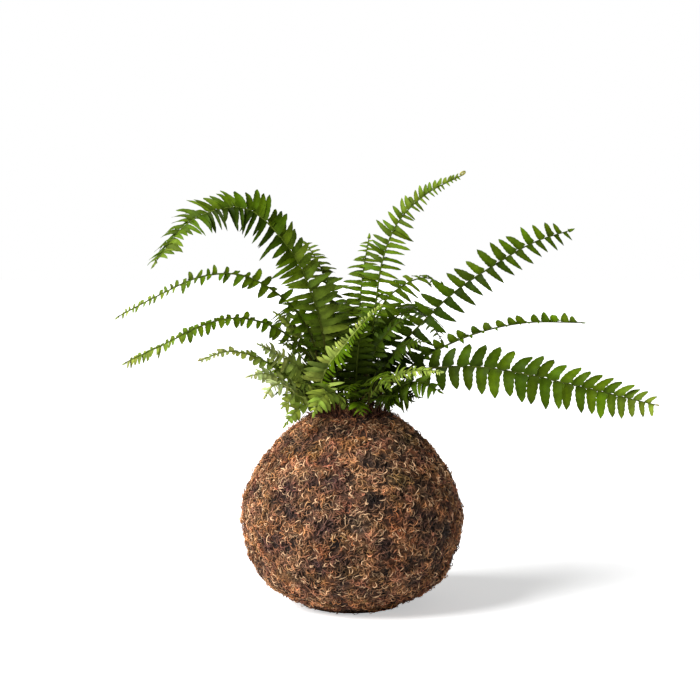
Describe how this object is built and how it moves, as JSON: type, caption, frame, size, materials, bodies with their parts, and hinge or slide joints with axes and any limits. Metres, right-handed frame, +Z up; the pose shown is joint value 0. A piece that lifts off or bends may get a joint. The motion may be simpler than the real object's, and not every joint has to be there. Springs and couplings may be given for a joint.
{
  "type": "kokedama moss ball plant",
  "caption": "Young sword fern with arching fronds of small leaflets, growing from a rounded ball of soil wrapped in brown fibre that rests on a small flat spot.",
  "frame": {"origin": "middle of the flat spot under the ball, on the surface that it rests on", "axes": "+Z up; +X to the right as seen from the front, along the plant's widest spread; +Y to the back"},
  "size_m": [0.3829, 0.2385, 0.3105],
  "materials": {
    "fibre": "matte",
    "soil": "matte",
    "crown": "matte",
    "leaf": "satin",
    "young": "satin"
  },
  "bodies": {
    "root": {"fibre_wrap": "fibre", "soil_ball": "soil", "crown": "crown", "frond_left_arch": "leaf", "frond_left_upper": "leaf", "frond_left_middle": "leaf", "frond_left_small": "young", "frond_left_tiny": "young", "frond_left_curl": "young", "frond_left_front": "young", "frond_left_low": "leaf", "frond_left_hang": "young", "frond_front_rise": "young", "frond_front_left": "young", "frond_front_right": "young", "frond_front_toward": "young", "frond_front_tiny": "young", "frond_right_low": "leaf", "frond_right_under": "leaf", "frond_right_big": "leaf", "frond_right_middle": "leaf", "frond_right_upper": "leaf", "frond_right_back": "leaf", "frond_tall_right": "leaf", "frond_tall_back": "leaf", "frond_tall_left": "leaf", "frond_inner_front": "leaf", "frond_inner_left": "leaf", "frond_inner_right": "leaf", "frond_back_right": "leaf", "frond_back_long": "leaf", "frond_back_left": "leaf", "frond_back_low_left": "young", "frond_back_low_right": "leaf", "frond_back_low": "young"}
  },
  "joints": []
}
